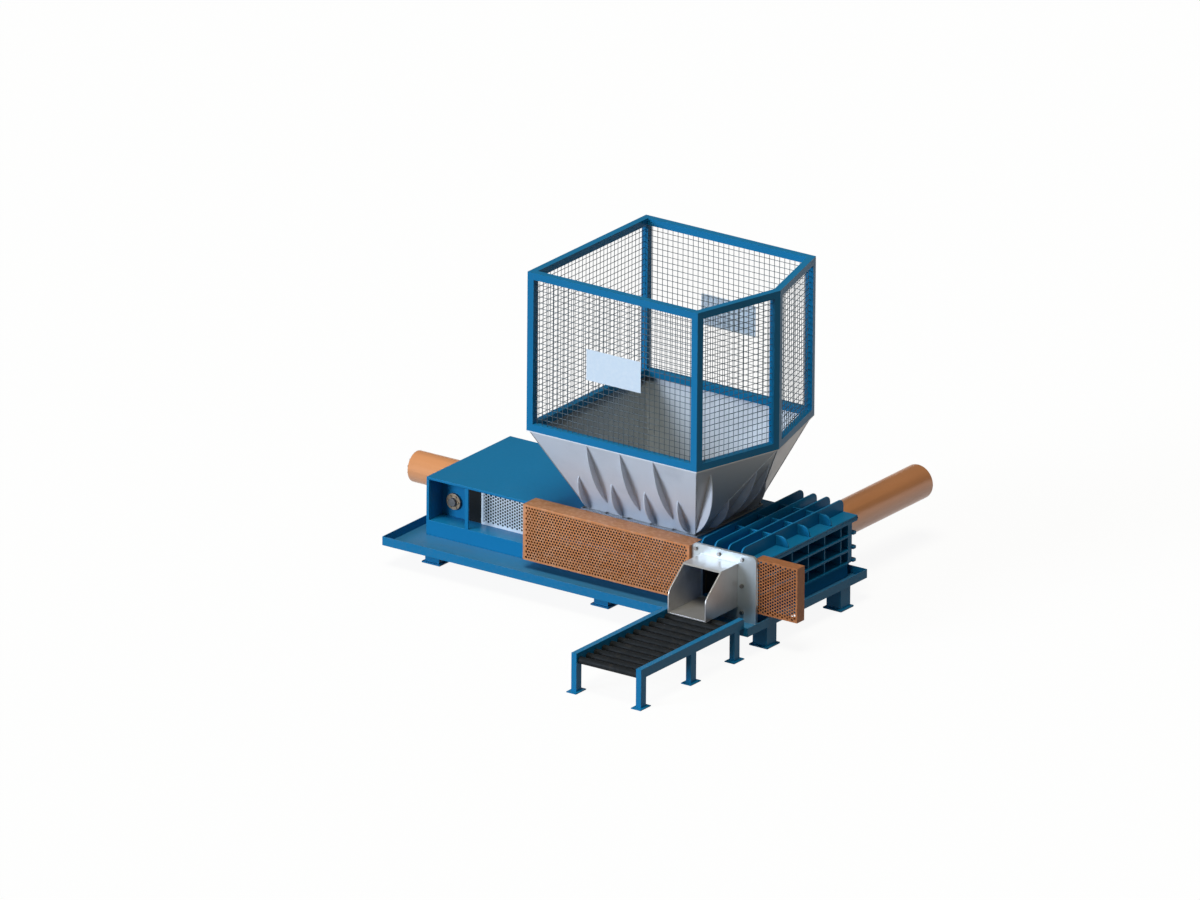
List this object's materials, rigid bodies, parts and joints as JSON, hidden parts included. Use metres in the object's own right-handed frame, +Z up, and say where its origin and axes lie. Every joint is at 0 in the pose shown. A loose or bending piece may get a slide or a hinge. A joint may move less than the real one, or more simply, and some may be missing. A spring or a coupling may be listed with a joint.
{
  "type": "recycling baler",
  "caption": "Two-ram baler with a meshed feed cage over a steel hopper, a ribbed bale chamber, a sliding outlet gate, a chute and a roller conveyor",
  "frame": {"origin": "middle of the footprint, on the floor", "axes": "+X along the main ram towards the bale chamber, +Y away from the outlet conveyor, +Z up"},
  "size_m": [4.251, 4.5876, 2.768],
  "materials": {
    "blue": "satin blue enamel",
    "orange": "glossy copper orange enamel",
    "sheet": "bare satin sheet steel",
    "board": "pale enamel, left blank",
    "stainless": "brushed stainless sheet",
    "mesh": "dark welded wire",
    "steel": "machined steel",
    "rod": "hard chromed rod",
    "roller": "black coated tube"
  },
  "bodies": {
    "baler_frame": {"drip_tray": "blue", "support_feet": "blue", "housing_front_wall": "blue", "housing_back_wall": "blue", "housing_roof": "blue", "housing_end_plate": "blue", "channel_walls": "blue", "channel_floor": "blue", "box_top_plate": "blue", "box_right_wall": "blue", "box_left_wall": "blue", "box_back_wall": "blue", "box_top_ribs": "blue", "box_side_ribs": "blue", "cage_frame": "blue", "conveyor_frame": "blue", "gate_rails": "blue", "main_cylinder_barrel": "orange", "cross_cylinder_barrel": "orange", "gate_cylinder_guard": "orange", "gate_end_guard": "orange", "gate_cylinder": "orange", "outlet_plate": "sheet", "outlet_chute": "sheet", "vent_panel": "sheet", "sign_boards": "board", "hopper_shell": "stainless", "hopper_ribs": "stainless", "cage_mesh_front": "mesh", "cage_mesh_left": "mesh", "cage_mesh_back": "mesh", "cage_mesh_right_front": "mesh", "cage_mesh_right_back": "mesh", "port_flange": "steel", "main_cylinder_gland": "steel", "cross_cylinder_gland": "steel", "shear_blade": "steel", "flange_bolts": "steel", "roller_shafts": "steel"},
    "main_ram_body": {"main_piston": "steel", "main_rod": "rod", "main_ram": "steel"},
    "cross_ram_body": {"cross_piston": "steel", "cross_rod": "rod", "cross_ram": "steel"},
    "gate_body": {"gate_plate": "steel", "gate_rod": "rod"},
    "roller_01_body": {"roller_01": "roller"},
    "roller_02_body": {"roller_02": "roller"},
    "roller_03_body": {"roller_03": "roller"},
    "roller_04_body": {"roller_04": "roller"},
    "roller_05_body": {"roller_05": "roller"},
    "roller_06_body": {"roller_06": "roller"},
    "roller_07_body": {"roller_07": "roller"},
    "roller_08_body": {"roller_08": "roller"},
    "roller_09_body": {"roller_09": "roller"},
    "roller_10_body": {"roller_10": "roller"},
    "roller_11_body": {"roller_11": "roller"},
    "roller_12_body": {"roller_12": "roller"},
    "roller_13_body": {"roller_13": "roller"}
  },
  "joints": [
    {"name": "main_ram_slide", "type": "slide", "parent": "baler_frame", "child": "main_ram_body", "axis": [1, 0, 0], "range_m": [0, 1.35]},
    {"name": "cross_ram_slide", "type": "slide", "parent": "baler_frame", "child": "cross_ram_body", "axis": [0, -1, 0], "range_m": [0, 1.1]},
    {"name": "gate_slide", "type": "slide", "parent": "baler_frame", "child": "gate_body", "axis": [-1, 0, 0], "range_m": [-0.61, 0]},
    {"name": "roller_01_spin", "type": "hinge", "parent": "baler_frame", "child": "roller_01_body", "pos_m": [1.466, -2.21125, 0.27], "axis": [1, 0, 0], "continuous": true},
    {"name": "roller_02_spin", "type": "hinge", "parent": "baler_frame", "child": "roller_02_body", "pos_m": [1.466, -2.10125, 0.27], "axis": [1, 0, 0], "continuous": true},
    {"name": "roller_03_spin", "type": "hinge", "parent": "baler_frame", "child": "roller_03_body", "pos_m": [1.466, -1.99125, 0.27], "axis": [1, 0, 0], "continuous": true},
    {"name": "roller_04_spin", "type": "hinge", "parent": "baler_frame", "child": "roller_04_body", "pos_m": [1.466, -1.88125, 0.27], "axis": [1, 0, 0], "continuous": true},
    {"name": "roller_05_spin", "type": "hinge", "parent": "baler_frame", "child": "roller_05_body", "pos_m": [1.466, -1.77125, 0.27], "axis": [1, 0, 0], "continuous": true},
    {"name": "roller_06_spin", "type": "hinge", "parent": "baler_frame", "child": "roller_06_body", "pos_m": [1.466, -1.66125, 0.27], "axis": [1, 0, 0], "continuous": true},
    {"name": "roller_07_spin", "type": "hinge", "parent": "baler_frame", "child": "roller_07_body", "pos_m": [1.466, -1.55125, 0.27], "axis": [1, 0, 0], "continuous": true},
    {"name": "roller_08_spin", "type": "hinge", "parent": "baler_frame", "child": "roller_08_body", "pos_m": [1.466, -1.44125, 0.27], "axis": [1, 0, 0], "continuous": true},
    {"name": "roller_09_spin", "type": "hinge", "parent": "baler_frame", "child": "roller_09_body", "pos_m": [1.466, -1.33125, 0.27], "axis": [1, 0, 0], "continuous": true},
    {"name": "roller_10_spin", "type": "hinge", "parent": "baler_frame", "child": "roller_10_body", "pos_m": [1.466, -1.22125, 0.27], "axis": [1, 0, 0], "continuous": true},
    {"name": "roller_11_spin", "type": "hinge", "parent": "baler_frame", "child": "roller_11_body", "pos_m": [1.466, -1.11125, 0.27], "axis": [1, 0, 0], "continuous": true},
    {"name": "roller_12_spin", "type": "hinge", "parent": "baler_frame", "child": "roller_12_body", "pos_m": [1.466, -1.00125, 0.27], "axis": [1, 0, 0], "continuous": true},
    {"name": "roller_13_spin", "type": "hinge", "parent": "baler_frame", "child": "roller_13_body", "pos_m": [1.466, -0.89125, 0.27], "axis": [1, 0, 0], "continuous": true}
  ]
}
